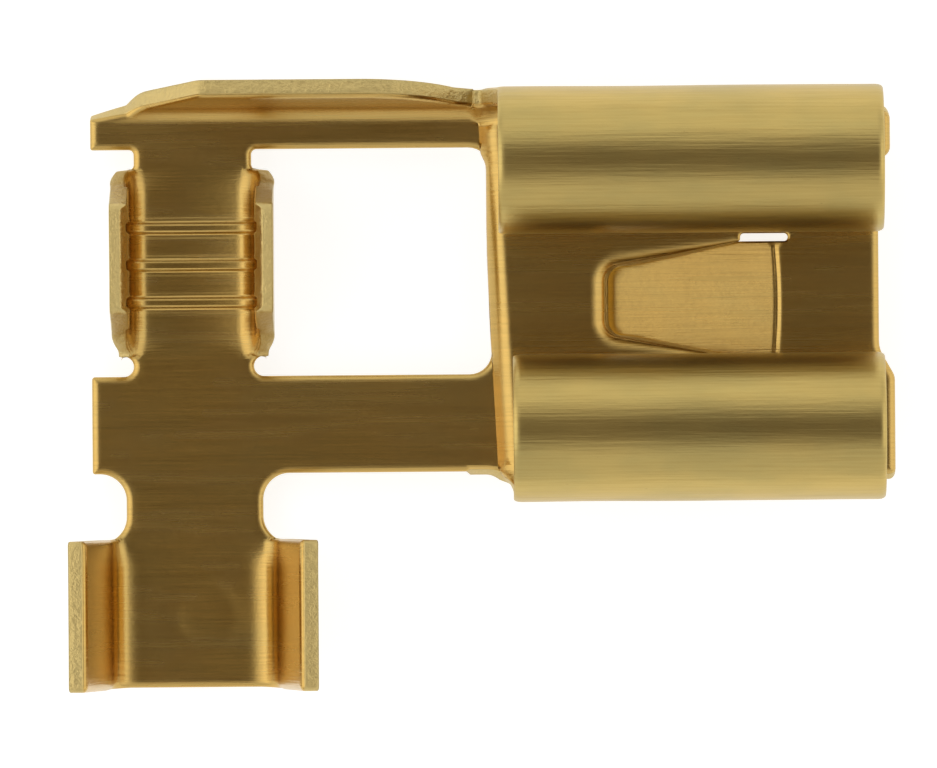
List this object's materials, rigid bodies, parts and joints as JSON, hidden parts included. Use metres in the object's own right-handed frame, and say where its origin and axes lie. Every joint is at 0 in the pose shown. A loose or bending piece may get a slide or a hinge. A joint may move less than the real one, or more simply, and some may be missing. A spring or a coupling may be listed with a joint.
{
  "type": "female spade terminal",
  "caption": "Right-angle female spade terminal folded from brass sheet: rolled edges grip a flat tab, and open crimp barrels set across it take the wire.",
  "frame": {"origin": "middle of the receptacle mouth, on the floor face that the tab lies on", "axes": "+X out of the mouth, +Z from the floor towards the top of the rolls, +Y across, towards the roll beside the stiffening flange"},
  "size_m": [0.0155, 0.0115, 0.0036],
  "materials": {
    "brass": "bright rolled strip with a fine grain along X, cut edges bare"
  },
  "bodies": {
    "root": {"terminal": "brass"}
  },
  "joints": []
}
